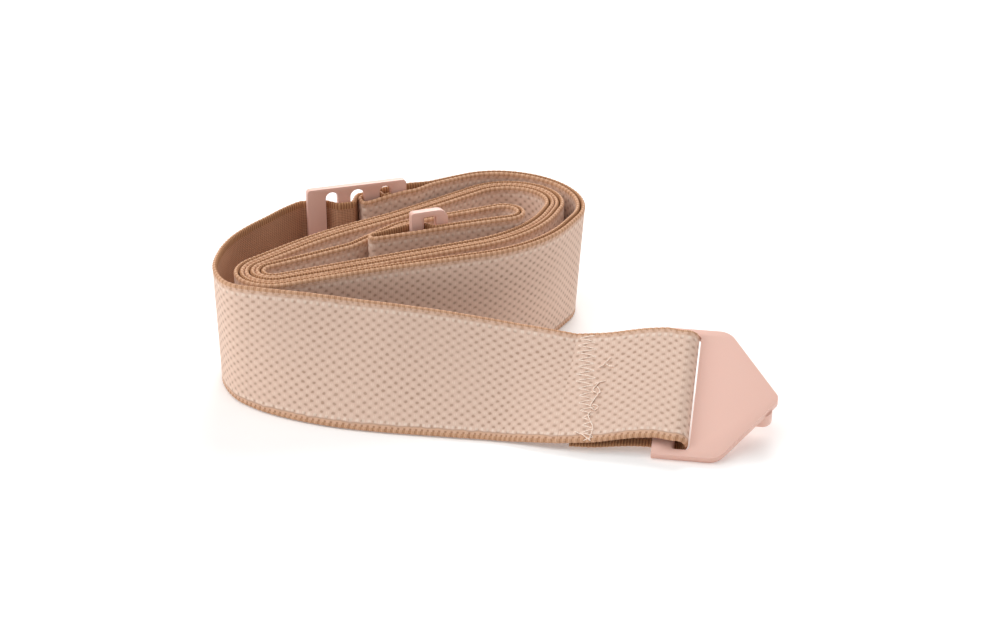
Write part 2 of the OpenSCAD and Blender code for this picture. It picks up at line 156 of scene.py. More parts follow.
dottedFace = {
    "ground": colour(226, 195, 176), "knotHighlight": colour(242, 217, 200), "dot": colour(168, 134, 113),
    "puff": colour(246, 226, 210), "tan": colour(216, 172, 141), "spot": colour(150, 102, 72),
    "dotAlong": 1.33, "dotAcross": 1.06, "jitter": 0.5, "strand": 0.44,
    "puffs": 1.38, "puffRow": 2.2, "puffShare": 0.55,
    "border": (1.8, 1.3), "borderLine": 1.65, "spotRow": 1.0, "spotPhase": 2.4,
    "tanShare": (0.5, 0.35), "lineShare": (0.1, 0.3), "spotShare": (0.4, 0.3),  # all over, and more below
    "wander": 420.0, "drift": 70.0, "fuzz": 1500.0,
    "bump": 0.25, "depth": 0.3, "roughness": 0.85, "specular": 0.2, "sheen": 0.12,
}


def makeDottedFace():
    face = dottedFace
    material, start, shader = newMaterial("webbing dotted face")
    uv, along, across = strapCoordinates(start)
    wander = uv.noise(face["wander"])
    drift = uv.noise(face["drift"])
    fuzz = uv.noise(face["fuzz"])
    x = (along + (wander - 0.5) * face["jitter"]) * (math.pi / face["dotAlong"])
    y = (across + (drift - 0.5) * face["jitter"] * 2) * (math.pi / face["dotAcross"])
    weave = ((x + y).wave() + (x - y).wave()) * 0.5
    strands = (along * (fullTurn / face["strand"])).wave()
    dots = (weave + (fuzz - 0.5) * 0.5).ease(0.6, 1.0) * (0.25 + drift * 0.75)
    # painted highlights on the yarn: the pale knot colour between the dots, strongest along the strands
    knotHighlights = (weave + (fuzz - 0.5) * 0.6).ease(0.6, 0.0) * (0.2 + strands * 0.5)
    base = dots.tint(knotHighlights.tint(face["ground"], face["knotHighlight"]), face["dot"])
    # towards the rims: a row of pale puffs, then spots in a tan border
    fromEdge = halfWide - (across - halfWide).size()
    turn = along * (fullTurn / face["puffs"])
    puffs = (turn + wander * 3).wave().ease(0.35, 0.8)
    puffs = puffs * (fromEdge - face["puffRow"]).size().ease(0.6, 0.1)
    base = (puffs * face["puffShare"]).tint(base, face["puff"])
    lower = across.ease(halfWide + 1, halfWide - 1)

    def share(name):
        allOver, below = face[name]
        return allOver + lower * below

    inBorder = fromEdge + (wander - 0.5) * 0.9
    base = (inBorder.ease(*face["border"]) * share("tanShare")).tint(base, face["tan"])
    line = (inBorder - face["borderLine"]).size().ease(0.3, 0.05) * share("lineShare")
    spots = (turn + face["spotPhase"]).wave().ease(0.45, 0.95)
    spots = spots * (fromEdge - face["spotRow"]).size().ease(0.4, 0.1)
    feed((spots * share("spotShare") + line).tint(base, face["spot"]), shader, "Base Color")
    height = strands * 0.15 - weave * 0.8 + puffs * 0.5 - spots * 0.6
    finishSurface(shader, height, face)
    shader.inputs["Sheen Weight"].default_value = face["sheen"]
    return material


plainFace = {
    "yarn": colour(204, 155, 124), "gap": colour(160, 116, 89), "rib": 0.45, "pick": 0.7, "drift": 120.0,
    "bump": 0.3, "depth": 0.3, "roughness": 0.85, "specular": 0.2,
}


def makePlainFace():
    face = plainFace
    material, start, shader = newMaterial("webbing plain face")
    uv, along, across = strapCoordinates(start)
    drift = uv.noise(face["drift"], 3.0)
    ribs = (across * (fullTurn / face["rib"]) + drift * 3).wave()
    picks = (along * (fullTurn / face["pick"])).wave()
    cover = (ribs * 0.5 + picks * 0.3 + drift * 0.5).ease(0.2, 1.0)
    feed(cover.tint(face["gap"], face["yarn"]), shader, "Base Color")
    finishSurface(shader, ribs + picks * 0.5, face)
    return material


brightEdge = {
    "bead": colour(222, 179, 147), "cord": colour(200, 154, 121), "gap": colour(178, 132, 100),
    "pitch": 1.38, "strand": 0.46, "drift": 260.0,
    "bump": 0.22, "depth": 0.3, "roughness": 0.75, "specular": 0.25,
}


def makeBrightEdge():
    edge = brightEdge
    material, start, shader = newMaterial("webbing bright edge")
    uv, along, across = strapCoordinates(start)
    drift = uv.noise(edge["drift"])
    beads = (along * (fullTurn / edge["pitch"]) + (drift - 0.5) * 3).wave()
    strands = ((along + across * 0.3) * (fullTurn / edge["strand"])).wave()
    patchy = beads * 0.6 + (drift - 0.5) * 0.8
    body = (patchy + strands * 0.3).ease(0.0, 0.5).tint(edge["gap"], edge["cord"])
    # painted highlight on the bead crests: the pale bead colour where the beads stand highest
    lit = (patchy + strands * 0.4).ease(0.4, 1.0)
    feed((lit * 0.8).tint(body, edge["bead"]), shader, "Base Color")
    finishSurface(shader, beads + strands * 0.4, edge)
    return material


hatchedEdge = {
    "yarn": colour(190, 142, 104), "gap": colour(150, 104, 72), "pitch": 0.69, "drift": 260.0,
    "bump": 0.35, "depth": 0.3, "roughness": 0.8, "specular": 0.2,
}


# the rest of the rim, where the turned weft shows as a ladder
def makeHatchedEdge():
    edge = hatchedEdge
    material, start, shader = newMaterial("webbing hatched edge")
    uv, along, across = strapCoordinates(start)
    drift = uv.noise(edge["drift"])
    rungs = (along * (fullTurn / edge["pitch"]) + (drift - 0.5) * 2).wave()
    cover = (rungs + (drift - 0.5) * 0.5).ease(0.1, 0.9)
    feed(cover.tint(edge["gap"], edge["yarn"]), shader, "Base Color")
    finishSurface(shader, rungs, edge)
    return material


pinkPlastic = {
    "face": colour(235, 191, 176), "grain": 1600.0, "mottle": 0.16,
    "soft": 0.08, "bleed": (0.001, 0.0006, 0.0004),
    "bump": 0.05, "depth": 0.1, "roughness": 0.42, "specular": 0.4,
}


def makePinkPlastic():
    look = pinkPlastic
    material, start, shader = newMaterial("pink moulded plastic")
    grain = start.node("ShaderNodeTexCoord", out="Object").noise(look["grain"])
    shader.inputs["Base Color"].default_value = look["face"]
    finishSurface(shader, grain, look)
    feed(grain * look["mottle"] + (look["roughness"] - look["mottle"] / 2), shader, "Roughness")
    shader.inputs["Subsurface Weight"].default_value = look["soft"]
    shader.inputs["Subsurface Radius"].default_value = look["bleed"]
    return material


creamThread = {
    "lit": colour(254, 238, 224), "shade": colour(238, 213, 195), "ply": 2600.0,
    "bump": 0.4, "depth": 0.2, "roughness": 0.7, "specular": 0.5,
}


def makeCreamThread():
    look = creamThread
    material, start, shader = newMaterial("cream sewing thread")
    ply = start.node("ShaderNodeTexCoord", out="Object").noise(look["ply"], 1.0)
    feed(ply.ease(0.3, 0.7).tint(look["shade"], look["lit"]), shader, "Base Color")
    finishSurface(shader, ply, look)
    return material


dotted = makeDottedFace()
plain = makePlainFace()
bright = makeBrightEdge()
hatched = makeHatchedEdge()
plastic = makePinkPlastic()
thread = makeCreamThread()
print("materials made")


# flat routes in millimetres round pegs (x, y, radius), radius above 0 where the route turns left
def headingBetween(a, b):
    dx, dy = b[0] - a[0], b[1] - a[1]
    aslant = math.asin((b[2] - a[2]) / math.hypot(dx, dy))
    return math.degrees(math.atan2(dy, dx)) - math.degrees(aslant)


# degrees turned on a peg, above 0 to the left; almost a full circle is a rounded 0
def turnAngle(before, after, radius):
    swing = (after - before) % 360 if radius >= 0 else (before - after) % 360
    swing = 0 if swing > 359 else swing
    return swing if radius >= 0 else -swing


def pegPoint(peg, angle):
    a = math.radians(angle)
    return (peg[0] + peg[2] * math.sin(a), peg[1] - peg[2] * math.cos(a), angle)


turnStep = 3  # most degrees between two points on a peg


# points (x, y, heading) of the route, a millimetre or less apart
def pegRoute(pegs, start):
    runs = [headingBetween(a, b) for a, b in zip(pegs, pegs[1:])]
    route = []
    for i, run in enumerate(runs):
        before = start if i == 0 else runs[i - 1]
        swing = turnAngle(before, run, pegs[i][2])
        finest = max(abs(swing) / turnStep, abs(math.radians(swing) * pegs[i][2]))
        count = 0 if pegs[i][2] == 0 else max(1, math.ceil(finest))
        for k in range(count + 1):
            route.append(pegPoint(pegs[i], run if count == 0 else before + swing * k / count))
    route.append(pegPoint(pegs[-1], runs[-1]))
    stepped = []
    for a, b in zip(route, route[1:]):
        count = max(1, math.ceil(math.hypot(b[0] - a[0], b[1] - a[1])))
        for k in range(count):
            stepped.append((a[0] + (b[0] - a[0]) * k / count, a[1] + (b[1] - a[1]) * k / count, a[2]))
    return stepped + [route[-1]]


# length from the first point to each
def lengthsAlong(points):
    return np.concatenate(([0.0], np.cumsum(np.linalg.norm(np.diff(points, axis=0), axis=1))))


# 0 to 1 with a soft start and end
def smooth(t):
    t = max(0.0, min(1.0, t))
    return t * t * (3 - 2 * t)


lay = Vector((2.5, 25, 0))  # shift of the whole belt onto the frame's origin


# a place with its own axes: along the plate, through it and up its face
class Seat:
    def __init__(self, place, yaw, lean):
        a, b = math.radians(yaw), math.radians(lean)
        back = Vector((-math.sin(a), math.cos(a), 0))
        up = Vector((0, 0, 1))
        self.place = Vector(place)
        self.along = Vector((math.cos(a), math.sin(a), 0))
        self.up = back * math.sin(b) + up * math.cos(b)
        self.through = back * math.cos(b) - up * math.sin(b)

    def at(self, u, y, v):
        return self.place + self.along * u + self.through * y + self.up * v

    # rings of webbing (lower edge, up, left side) on a flat route of this seat, rise giving the height
    def rings(self, route, rise):
        made = []
        for u, y, angle in route:
            a = math.radians(angle)
            left = self.through * math.cos(a) - self.along * math.sin(a)
            made.append((self.at(u, y, rise(u)), self.up, left))
        return made


# a ring on the floor's plan, lifted and leaning to its left
def leaningRing(x, y, angle, lift, lean):
    a, b = math.radians(angle), math.radians(lean)
    left = Vector((-math.sin(a), math.cos(a), 0))
    up = Vector((0, 0, 1))
    foot = Vector((x, y, lift + halfThick * abs(math.sin(b))))
    return (foot, left * math.sin(b) + up * math.cos(b), left * math.cos(b) - up * math.sin(b))


clear = 0.3  # between the webbing and a moulding
inset = 0.3  # of the webbing's bends from the slots' corners
bend = clear + halfThick + inset

# front hook plate, and how the fold lies on its bar
hook = {
    "place": (33.6, -73.5), "yaw": -10, "lean": 60, "thick": 2, "bar": 5, "rail": 1.7, "below": 0.7,
    "tail": 18.6, "overlap": 2.5, "ease": 0.7, "foldFrom": -13,
    "askew": 0.06, "levelAt": 6, "squeeze": 1.0, "squeezeFrom": -15, "squeezeOver": 12,
}
hookLift = hook["rail"] + hook["below"]
hookWrap = hook["thick"] / 2 + clear + halfThick
hookSlope = math.sin(math.radians(hook["lean"]))
frontSeat = Seat((*hook["place"], hook["thick"] / 2 * hookSlope), hook["yaw"], hook["lean"])

# eye plate, and the bight of webbing through its slot
eye = {
    "thick": 2, "bar": 3.4, "slot": 3, "inset": 0.2, "clear": 0.35,
    "lift": 2.4, "back": 7.8, "slack": 11, "fold": 1.2,
}
eyePivot = eye["bar"] - eye["thick"] / 2
eyeWrap = eye["thick"] / 2 + clear + halfThick

# slider: bars and slots in order along it, and how the webbing passes through
slider = {
    "place": (-48.5, 0.2, 0), "yaw": 19, "thick": 1.8, "nearBar": 4.7, "slot1": 3.2, "crossBar": 3.2,
    "slot2": 3.7, "loopBar": 3.9, "slot3": 3.1, "farBar": 4, "lift": 1.8, "skew": 1.4, "bow": 1.2,
    "reach": 0.8, "steer": (3, 0.35), "tuck": 0.1, "tuckIn": 1.2, "tuckEnd": 0.3,
}
sliderSeat = Seat(slider["place"], slider["yaw"], 0)
edge1 = slider["nearBar"] + slider["slot1"]
edge2 = edge1 + slider["crossBar"]
edge3 = edge2 + slider["slot2"]
edge4 = edge3 + slider["loopBar"]
edge5 = edge4 + slider["slot3"]
sliderLength = edge5 + slider["farBar"]
sliderHalf = slider["thick"] / 2
nearSide = sliderHalf + clear + halfThick
farSide = nearSide + layer
sliderEnd = sliderLength + slider["reach"]


# height of the strap's lower edge in the slider, where it rises to the far end
def sliderRise(u):
    return slider["lift"] + slider["skew"] * smooth((u - edge2) / (sliderLength - edge2))


# height of the strap's lower edge on the front hook, where it lies askew and is squeezed up by the bar
def frontRise(u):
    squeezed = smooth((u - hook["squeezeFrom"]) / hook["squeezeOver"]) * (1 - smooth(u / hook["bar"]))
    return hookLift + hook["askew"] * (u - hook["levelAt"]) + hook["squeeze"] * squeezed


# outer turn and free run from the slider to the front hook: x, y, lift, lean towards the coil
runEnd = -hook["tail"] - hook["overlap"]
runPast = 9  # to the last point, which like the first only steers the curve
endFoot = frontSeat.at(runEnd, -layer / 2, frontRise(runEnd))
pastFoot = frontSeat.at(runEnd + runPast, -layer / 2, frontRise(runEnd) + runPast * hook["askew"])
leanLift = halfThick * hookSlope
inFoot = sliderSeat.at(slider["steer"][0], nearSide + slider["steer"][1], 0)
startFoot = sliderSeat.at(-slider["reach"], nearSide + slider["bow"], 0)
runPoints = [
    (inFoot.x, inFoot.y, slider["lift"], 0),
    (startFoot.x, startFoot.y, slider["lift"], 0),
    (-54.3, -1.05, 1.4, 0),
    (-58.1, -5.4, 0.8, 0),
    (-61.8, -10.5, 0.4, -0.5),
    (-64.9, -16.9, 0.1, -1),
    (-66.7, -25.1, 0, -1),
    (-66.5, -35, 0, -1),
    (-63, -43.6, 0, 0),
    (-57.6, -49.4, 0, 7),
    (-50, -54.2, 0, 16),
    (-39.5, -58.5, 0, 26),
    (-28, -61.3, 0, 33),
    (-14, -63.6, 0, 43),
    (0, -65.9, 0, 52),
    (endFoot.x, endFoot.y, endFoot.z - leanLift, hook["lean"]),
    (pastFoot.x, pastFoot.y, pastFoot.z - leanLift, hook["lean"]),
]
flexAt = 8  # the point of the run where the free end swings


# place and direction at share t from b to c, on a smooth curve through a, b, c and d
def onSpline(a, b, c, d, t):
    second = 2 * a - 5 * b + 4 * c - d
    third = 3 * b - a - 3 * c + d
    at = 0.5 * (2 * b + (c - a) * t + second * t * t + third * t ** 3)
    return at, 0.5 * ((c - a) + 2 * second * t + 3 * third * t * t)


def splineRings(points, first, last):
    points = np.array(points, float)
    steps = 24
    made = []
    for i in range(first, last):
        for k in range(steps + (i == last - 1)):
            (x, y, lift, lean), go = onSpline(*points[i - 1:i + 3], k / steps)
            made.append(leaningRing(x, y, math.degrees(math.atan2(go[1], go[0])), max(0, lift), lean))
    return made


# the doubled band, clockwise from the slider's far end to the eye; pegs are x, y and innermost radius
coil = {
    "turns": 3, "swing": 4, "top": (1.8, 7), "loose": 0.9, "right": (1.9, 7.6, 10.8),
    "front": (-20.1, 11, 32.8), "frontLoose": 0.2, "left": (-52.8, -36.1, 3.4),
    "bulge": (20.4, -84.1, 95), "dip": (-53.7, 30.5, 41.1),
    "core": [(-42.4, -14.4, 10), (-20, -17, -8.5), (0.51, -4.4, -4.6), (-13.6, -15, 0)],
    # lengths along the band: its layers meet, it settles on the floor, it climbs to the eye, it flares
    "meet": 8, "settle": 62, "climb": 105, "flare": 5.6, "flareAt": 78, "flareHalf": 58,
}


# the peg with its radius grown, for a route that turns left (1) or right (-1) round it
def grown(peg, more, way):
    return (peg[0], peg[1], way * (peg[2] + more))


farEnd = sliderSeat.at(sliderEnd, 0, 0)
swingOut = farEnd + sliderSeat.through * coil["swing"]
outermost = (coil["turns"] - 1) * band
coilPegs = [(swingOut.x, swingOut.y, coil["swing"])]
coilPegs.append((*coil["top"], -(coil["right"][2] + outermost + coil["loose"])))
for turnNumber in range(coil["turns"]):
    outside = outermost - turnNumber * band
    if turnNumber:
        wound = (turnNumber - 1) * band
        coilPegs.append(grown(coil["bulge"], -wound, -1))
        coilPegs.append(grown(coil["dip"], wound, 1))
        coilPegs.append(grown(coil["right"], outside, -1))
    coilPegs.append(grown(coil["front"], outside + (0 if turnNumber else coil["frontLoose"]), -1))
    coilPegs.append(grown(coil["left"], outside, -1))
coilPegs += coil["core"]
coilRoute = pegRoute(coilPegs, slider["yaw"])
coilSteps = lengthsAlong(np.array(coilRoute)[:, :2])
coilLength = coilSteps[-1]


# outer layer (1) or inner layer (-1) of the band, which the slider holds apart and the outer turn flares
def coilRings(side):
    made = []
    held = (farSide if side > 0 else nearSide) - layer / 2
    for (x, y, angle), s in zip(coilRoute, coilSteps):
        a = math.radians(angle)
        out = side * (layer / 2 + held * (1 - smooth(s / coil["meet"])))
        lift = (slider["lift"] + slider["skew"]) * (1 - smooth(s / coil["settle"]))
        lift += eye["lift"] * smooth((s - coilLength + coil["climb"]) / coil["climb"])
        away = min(1, abs(s - coil["flareAt"]) / coil["flareHalf"])
        flare = coil["flare"] * (1 + math.cos(math.pi * away)) / 2
        made.append(leaningRing(x - math.sin(a) * out, y + math.cos(a) * out, angle, lift, flare))
    return made


innerYaw = coilRoute[-1][2] + 180
innerSeat = Seat((coilRoute[-1][0], coilRoute[-1][1], 0), innerYaw, 0)
plateOff = layer / 2 + halfThick + eye["clear"] + eye["thick"] / 2
innerRoute = pegRoute([
    (0, -layer / 2, 0),
    (-eye["back"] - eye["slack"] + eye["fold"], eye["fold"] - layer / 2, -eye["fold"]),
    (-eye["back"] + inset, plateOff + eye["thick"] / 2 - inset, -bend),
    (-eye["back"] + eyePivot, plateOff, -eyeWrap),
    (-eye["back"] + eye["bar"] + eye["slot"] - eye["inset"], layer / 2 + bend, bend),
    (0, layer / 2, 0),
], 180)
frontRoute = pegRoute([
    (runEnd, -layer / 2, 0),
    (hook["bar"], -hook["ease"], hookWrap + hook["ease"]),
    (-hook["tail"], layer / 2, 0),
], 0)
weaveRoute = pegRoute([
    (-slider["reach"], nearSide + slider["bow"], 0),
    (slider["nearBar"] - inset, sliderHalf - inset, -bend),
    (edge1 + inset, -sliderHalf + inset, bend),
    (edge2 - inset, -sliderHalf + inset, bend),
    (edge3 - inset, farSide - bend, -bend),
    (sliderEnd, farSide, 0),
], 0)
loopStart = (sliderEnd, -nearSide, 0)
loopFold = (edge3 + inset, bend - farSide, -bend)
loopRoute = pegRoute([
    loopStart,
    loopFold,
    (edge3 + inset, sliderHalf - inset, -bend),
    (edge4 - inset, sliderHalf - inset, -bend),
    (edge5 - slider["tuckIn"], -slider["tuck"], bend),
    (edge5 - slider["tuckEnd"], -webbing["thick"] - slider["tuck"], 0),
], 180)


samePlace = 1e-6  # rings closer than this are one


# evenly spaced rings, with the length along the strap at each
def evenRings(rings, start):
    feet = np.array([r[0][:] for r in rings])
    gaps = np.linalg.norm(np.diff(feet[:, :2], axis=0), axis=1)
    keep = np.concatenate(([True], gaps > samePlace))
    feet = feet[keep]
    ups = np.array([r[1][:] for r in rings])[keep]
    sides = np.array([r[2][:] for r in rings])[keep]
    middle = feet + ups * halfWide
    s = lengthsAlong(middle)
    count = max(4, round(s[-1] / webbing["ring"]))
    at = np.linspace(0, s[-1], count + 1)

    def pick(values):
        return np.stack([np.interp(at, s, values[:, k]) for k in range(3)], 1)

    ups, sides = pick(ups), pick(sides)
    ups /= np.linalg.norm(ups, axis=1)[:, None]
    sides /= np.linalg.norm(sides, axis=1)[:, None]
    return pick(feet), ups, sides, at + start


# half of the webbing's section, from the middle of the dotted face round a rim to the middle of the
# plain face: distance from the rim, offset to the dotted side, share of the beads
halfSection = [
    (halfWide, 0.5, 0), (8, 0.5, 0), (2, 0.51, 0), (0.8, 0.54, 0),
    (0.5, 0.55, 1), (0.25, 0.44, 1), (0.05, 0.2, 1), (0.03, -0.1, 0.6), (0.2, -0.36, 0.3),
    (0.6, -0.5, 0), (1.7, -0.5, 0), (8, -0.5, 0), (halfWide, -0.5, 0),
]
# the whole section, round from the dotted face's lower border
upperHalf = [(webbing["width"] - v, d, bead) for v, d, bead in halfSection]
lowerHalf = halfSection[-2:0:-1]
section = lowerHalf[-3:] + upperHalf + lowerHalf[:-3]
# faces between its points: 0 dotted, 1 bright edge, 2 hatched edge, 3 plain
sectionParts = [0] * 6 + [1] * 4 + [2] * 3 + [3] * 4 + [2] * 3 + [1] * 4


# a length of strap on its rings, dotted on their left (1) or right (-1); start is its place along the strap
def makeStrap(name, rings, dottedSign, start):
    feet, ups, sides, s = evenRings(rings, start)
    sides = sides * dottedSign
    # the strap stands a little off its route, and wavers along its length
    slow = np.sin(s / webbing["longWave"]) * webbing["longShare"]
    quick = np.sin(s / webbing["shortWave"] + 1) * webbing["shortShare"]
    rise = webbing["lift"] * (1 + slow + quick)
    count, around = len(s), len(section)
    points = np.zeros((count, around, 3))
    for k, (v, d, bead) in enumerate(section):
        swell = bead * webbing["swell"] * np.cos(fullTurn * s / webbing["bead"])
        height = np.maximum(v + (swell if v > halfWide else -swell), webbing["lowest"])
        points[:, k] = feet + ups * height[:, None] + sides * (d + swell * np.sign(d))[:, None]
        points[:, k, 2] += rise
    points = (points.reshape(-1, 3) + np.array(lay)) * mm
    row = np.arange(count - 1)[:, None] * around + np.arange(around)[None, :]
    nextUp = np.arange(count - 1)[:, None] * around + (np.arange(around)[None, :] + 1) % around
    quads = np.stack([row, row + around, nextUp + around, nextUp], 2).reshape(-1, 4)
    if dottedSign > 0:
        quads = quads[:, ::-1]
    ends = [list(range(around)), list(range((count - 1) * around, count * around))]
    ends[0 if dottedSign > 0 else 1].reverse()
    mesh = bpy.data.meshes.new(name)
    mesh.from_pydata(points.tolist(), [], quads.tolist() + ends)
    for material in (dotted, bright, hatched, plain):
        mesh.materials.append(material)
    indices = np.concatenate([np.tile(sectionParts, count - 1), [1, 1]]).astype(np.int32)
    mesh.polygons.foreach_set("material_index", indices)
    mesh.polygons.foreach_set("use_smooth", np.concatenate([np.ones(len(quads), bool), [False, False]]))
    # measure along and across, in metres, kept as the strap's own map
    across = np.array([v for v, d, bead in section])
    vertexUv = np.stack([np.repeat(s, around), np.tile(across, count)], 1) * mm
    corners = np.zeros(len(mesh.loops), np.int32)
    mesh.loops.foreach_get("vertex_index", corners)
    layerUv = mesh.uv_layers.new(name="strap")
    layerUv.data.foreach_set("uv", vertexUv[corners].astype(np.float32).ravel())
    mesh.update()
    piece = bpy.data.objects.new(name, mesh)
    bpy.context.scene.collection.objects.link(piece)
    (s[-1] - s[0]) * mm
    return piece, s[-1]


# length along the middle of the strap at each ring
def ringSteps(rings):
    return lengthsAlong(np.array([(foot + up * halfWide)[:] for foot, up, side in rings]))


# the rings from one length to another, or to the end
def splitRings(rings, low, high=None):
    s = ringSteps(rings)
    last = len(rings) if high is None else np.searchsorted(s, high) + 1
    return rings[np.searchsorted(s, low):last]


def toFrame(point):
    return tuple((point + lay) * mm)


# free side of the strap, from the slider's lead-in to the front hook
turnRings = splineRings(runPoints, 1, flexAt)
freeRings = splineRings(runPoints, flexAt, len(runPoints) - 2)
sideRings = turnRings[:-1] + freeRings
weaveRings = sliderSeat.rings(weaveRoute, sliderRise)
# the lead and the weave start at one ring, with the mean of their directions
meetFoot, meetUp, meetSide = weaveRings[0]
meetSide = (meetSide - sideRings[0][2]).normalized()
weaveRings[0] = (meetFoot, meetUp, meetSide)
sideRings[0] = (meetFoot, meetUp, meetSide * -1)
leadLong, flexHalf = 14.0, 6.0
beforeFlex = ringSteps(turnRings)[-1]
leadPart = splitRings(sideRings, 0, leadLong)
turnPart = splitRings(sideRings, leadLong, beforeFlex - flexHalf)
flexPart = splitRings(sideRings, beforeFlex - flexHalf, beforeFlex + flexHalf)
freePart = splitRings(sideRings, beforeFlex + flexHalf)
leadFrom = toFrame(sliderSeat.at(-slider["reach"], nearSide, halfWide))
leadTo = toFrame(sliderSeat.at(-leadLong, nearSide, halfWide))
foldFrom = toFrame(frontSeat.at(hook["foldFrom"], 0, halfWide))
foldTo = toFrame(frontSeat.at(0, 0, halfWide))

along = 0.0
strapLead, along = makeStrap("strapLead", leadPart, -1, along)
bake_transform(strapLead)
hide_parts("slider_lead")
strapTurn, along = makeStrap("strapOuterTurn", turnPart, -1, along)
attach(strapTurn, "coil")
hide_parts("outer_turn")
strapFlex, along = makeStrap("strapFlex", flexPart, -1, along)
toFrame(flexPart[0][0])
toFrame(flexPart[-1][0])
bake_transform(strapFlex)
strapFree, along = makeStrap("strapFreeRun", freePart, -1, along)
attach(strapFree, "free_end")
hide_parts("free_run")
strapFront, along = makeStrap("strapFrontLoop", frontSeat.rings(frontRoute, frontRise), -1, along)
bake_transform(strapFront)
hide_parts("front_loop")
print("free side of the strap made,", round(along), "mm")

# coiled side of the strap, through the slider, round the coil, the eye and back
outerRings = coilRings(1)
innerRings = [(foot, up, side * -1) for foot, up, side in reversed(coilRings(-1))]
loopRings = sliderSeat.rings(loopRoute, sliderRise)
eyeRings = innerSeat.rings(innerRoute, lambda u: eye["lift"])
# the layers stretch from the slider's far bar to a little way along the coil, in pieces of their own
gripped, firm, spring = 5.5, 4.5, 8.0
weaveLength = ringSteps(weaveRings)[-1]
innerLength = ringSteps(innerRings)[-1]
weavePart = splitRings(weaveRings, 0, weaveLength - gripped)
outPart = splitRings(weaveRings[:-1] + outerRings, weaveLength - gripped, weaveLength + spring)
outerPart = splitRings(outerRings, spring)
innerPart = splitRings(innerRings, 0, innerLength - spring)
backPart = splitRings(innerRings[:-1] + loopRings, innerLength - spring, innerLength + gripped)
loopPart = splitRings(loopRings, gripped)
stretchFrom = toFrame(sliderSeat.at(sliderEnd - firm, 0, halfWide))
stretchTo = toFrame(sliderSeat.at(sliderEnd + spring, 0, halfWide))

along = 0.0
strapWeave, along = makeStrap("strapWeave", weavePart, 1, along)
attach(strapWeave, "slider")
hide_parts("slider_weave")
strapOut, along = makeStrap("strapOutStretch", outPart, 1, along)
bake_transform(strapOut)
strapOuter, along = makeStrap("strapCoilOuter", outerPart, 1, along)
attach(strapOuter, "coil")
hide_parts("coil_outer_layer")
strapEye, along = makeStrap("strapInnerLoop", eyeRings, 1, along)
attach(strapEye, "coil")
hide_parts("inner_loop")
strapInner, along = makeStrap("strapCoilInner", innerPart, 1, along)
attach(strapInner, "coil")
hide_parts("coil_inner_layer")
strapBack, along = makeStrap("strapBackStretch", backPart, 1, along)
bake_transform(strapBack)
strapLoop, along = makeStrap("strapSliderLoop", loopPart, 1, along)
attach(strapLoop, "slider")
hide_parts("slider_loop")
print("coiled side of the strap made,", round(along), "mm")


moulding = {"rounding": 0.45, "segments": 3, "sharpFrom": 28, "flatTo": 2, "smoothTo": 35, "weld": 0.01}


def selectOnly(piece):
    bpy.ops.object.select_all(action="DESELECT")
    piece.select_set(True)
    bpy.context.view_layer.objects.active = piece


# a softened copy of a moulded plate
def makeMoulding(name, node, body):
    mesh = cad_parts[node].data.copy()
    mesh.materials.clear()
    mesh.materials.append(plastic)
    piece = bpy.data.objects.new(name, mesh)
    bpy.context.scene.collection.objects.link(piece)
    selectOnly(piece)
    bpy.ops.object.mode_set(mode="EDIT")
    bpy.ops.mesh.select_all(action="SELECT")
    bpy.ops.mesh.remove_doubles(threshold=moulding["weld"] * mm)
    bpy.ops.mesh.dissolve_limited(angle_limit=math.radians(moulding["flatTo"]))
    bpy.ops.mesh.normals_make_consistent(inside=False)
    bpy.ops.object.mode_set(mode="OBJECT")
    soft = piece.modifiers.new("rounding", "BEVEL")
    soft.width = moulding["rounding"] * mm
    soft.segments = moulding["segments"]
    soft.limit_method = "ANGLE"
    soft.angle_limit = math.radians(moulding["sharpFrom"])
    soft.harden_normals = False
    bpy.ops.object.modifier_apply(modifier=soft.name)
    bpy.ops.object.shade_smooth_by_angle(angle=math.radians(moulding["smoothTo"]))
    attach(piece, body)
    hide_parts(node)


makeMoulding("frontHook", "front_hook_plate", "front_hook")
makeMoulding("eyePlate", "eye_plate", "eye")
makeMoulding("slider", "slider_plate", "slider")
print("mouldings softened")


# round threads along lines of points
def makeThread(name, lines, thick, body, node):
    data = bpy.data.curves.new(name, "CURVE")
    data.dimensions = "3D"
    data.bevel_depth = thick / 2 * mm
    data.bevel_resolution = 2
    data.use_fill_caps = True
    for line in lines:
        spline = data.splines.new("POLY")
        spline.points.add(len(line) - 1)
        for point, at in zip(spline.points, line):
            point.co = (*toFrame(at), 1)
    piece = bpy.data.objects.new(name, data)
    bpy.context.scene.collection.objects.link(piece)
    selectOnly(piece)
    bpy.ops.object.convert(target="MESH")
    piece = bpy.context.view_layer.objects.active
    bpy.ops.object.shade_smooth()
    piece.data.materials.clear()
    piece.data.materials.append(thread)
    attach(piece, body)
    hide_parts(node)


# the slanting zigzag: heights on the hook's face, and the ends of its strokes there
frontSeam = {
    "height": (1.5, 6.7, 17.4, 30.2),
    "left": (-15.2, -16.4, -19, -20.2),
    "right": (-13.1, -13.5, -14.5, -15.5),
    "pitch": 0.98, "thick": 0.26, "steps": 8, "jitter": 0.3, "hole": 0.12, "arch": 0.3, "archPower": 0.7,
}


# face of the front fold at a place along it, so that threads lie on the webbing
def frontFace(u):
    share = (u - runEnd) / (hook["bar"] - runEnd)
    return -(layer / 2 + (hookWrap + 2 * hook["ease"] - layer / 2) * share) - halfThick


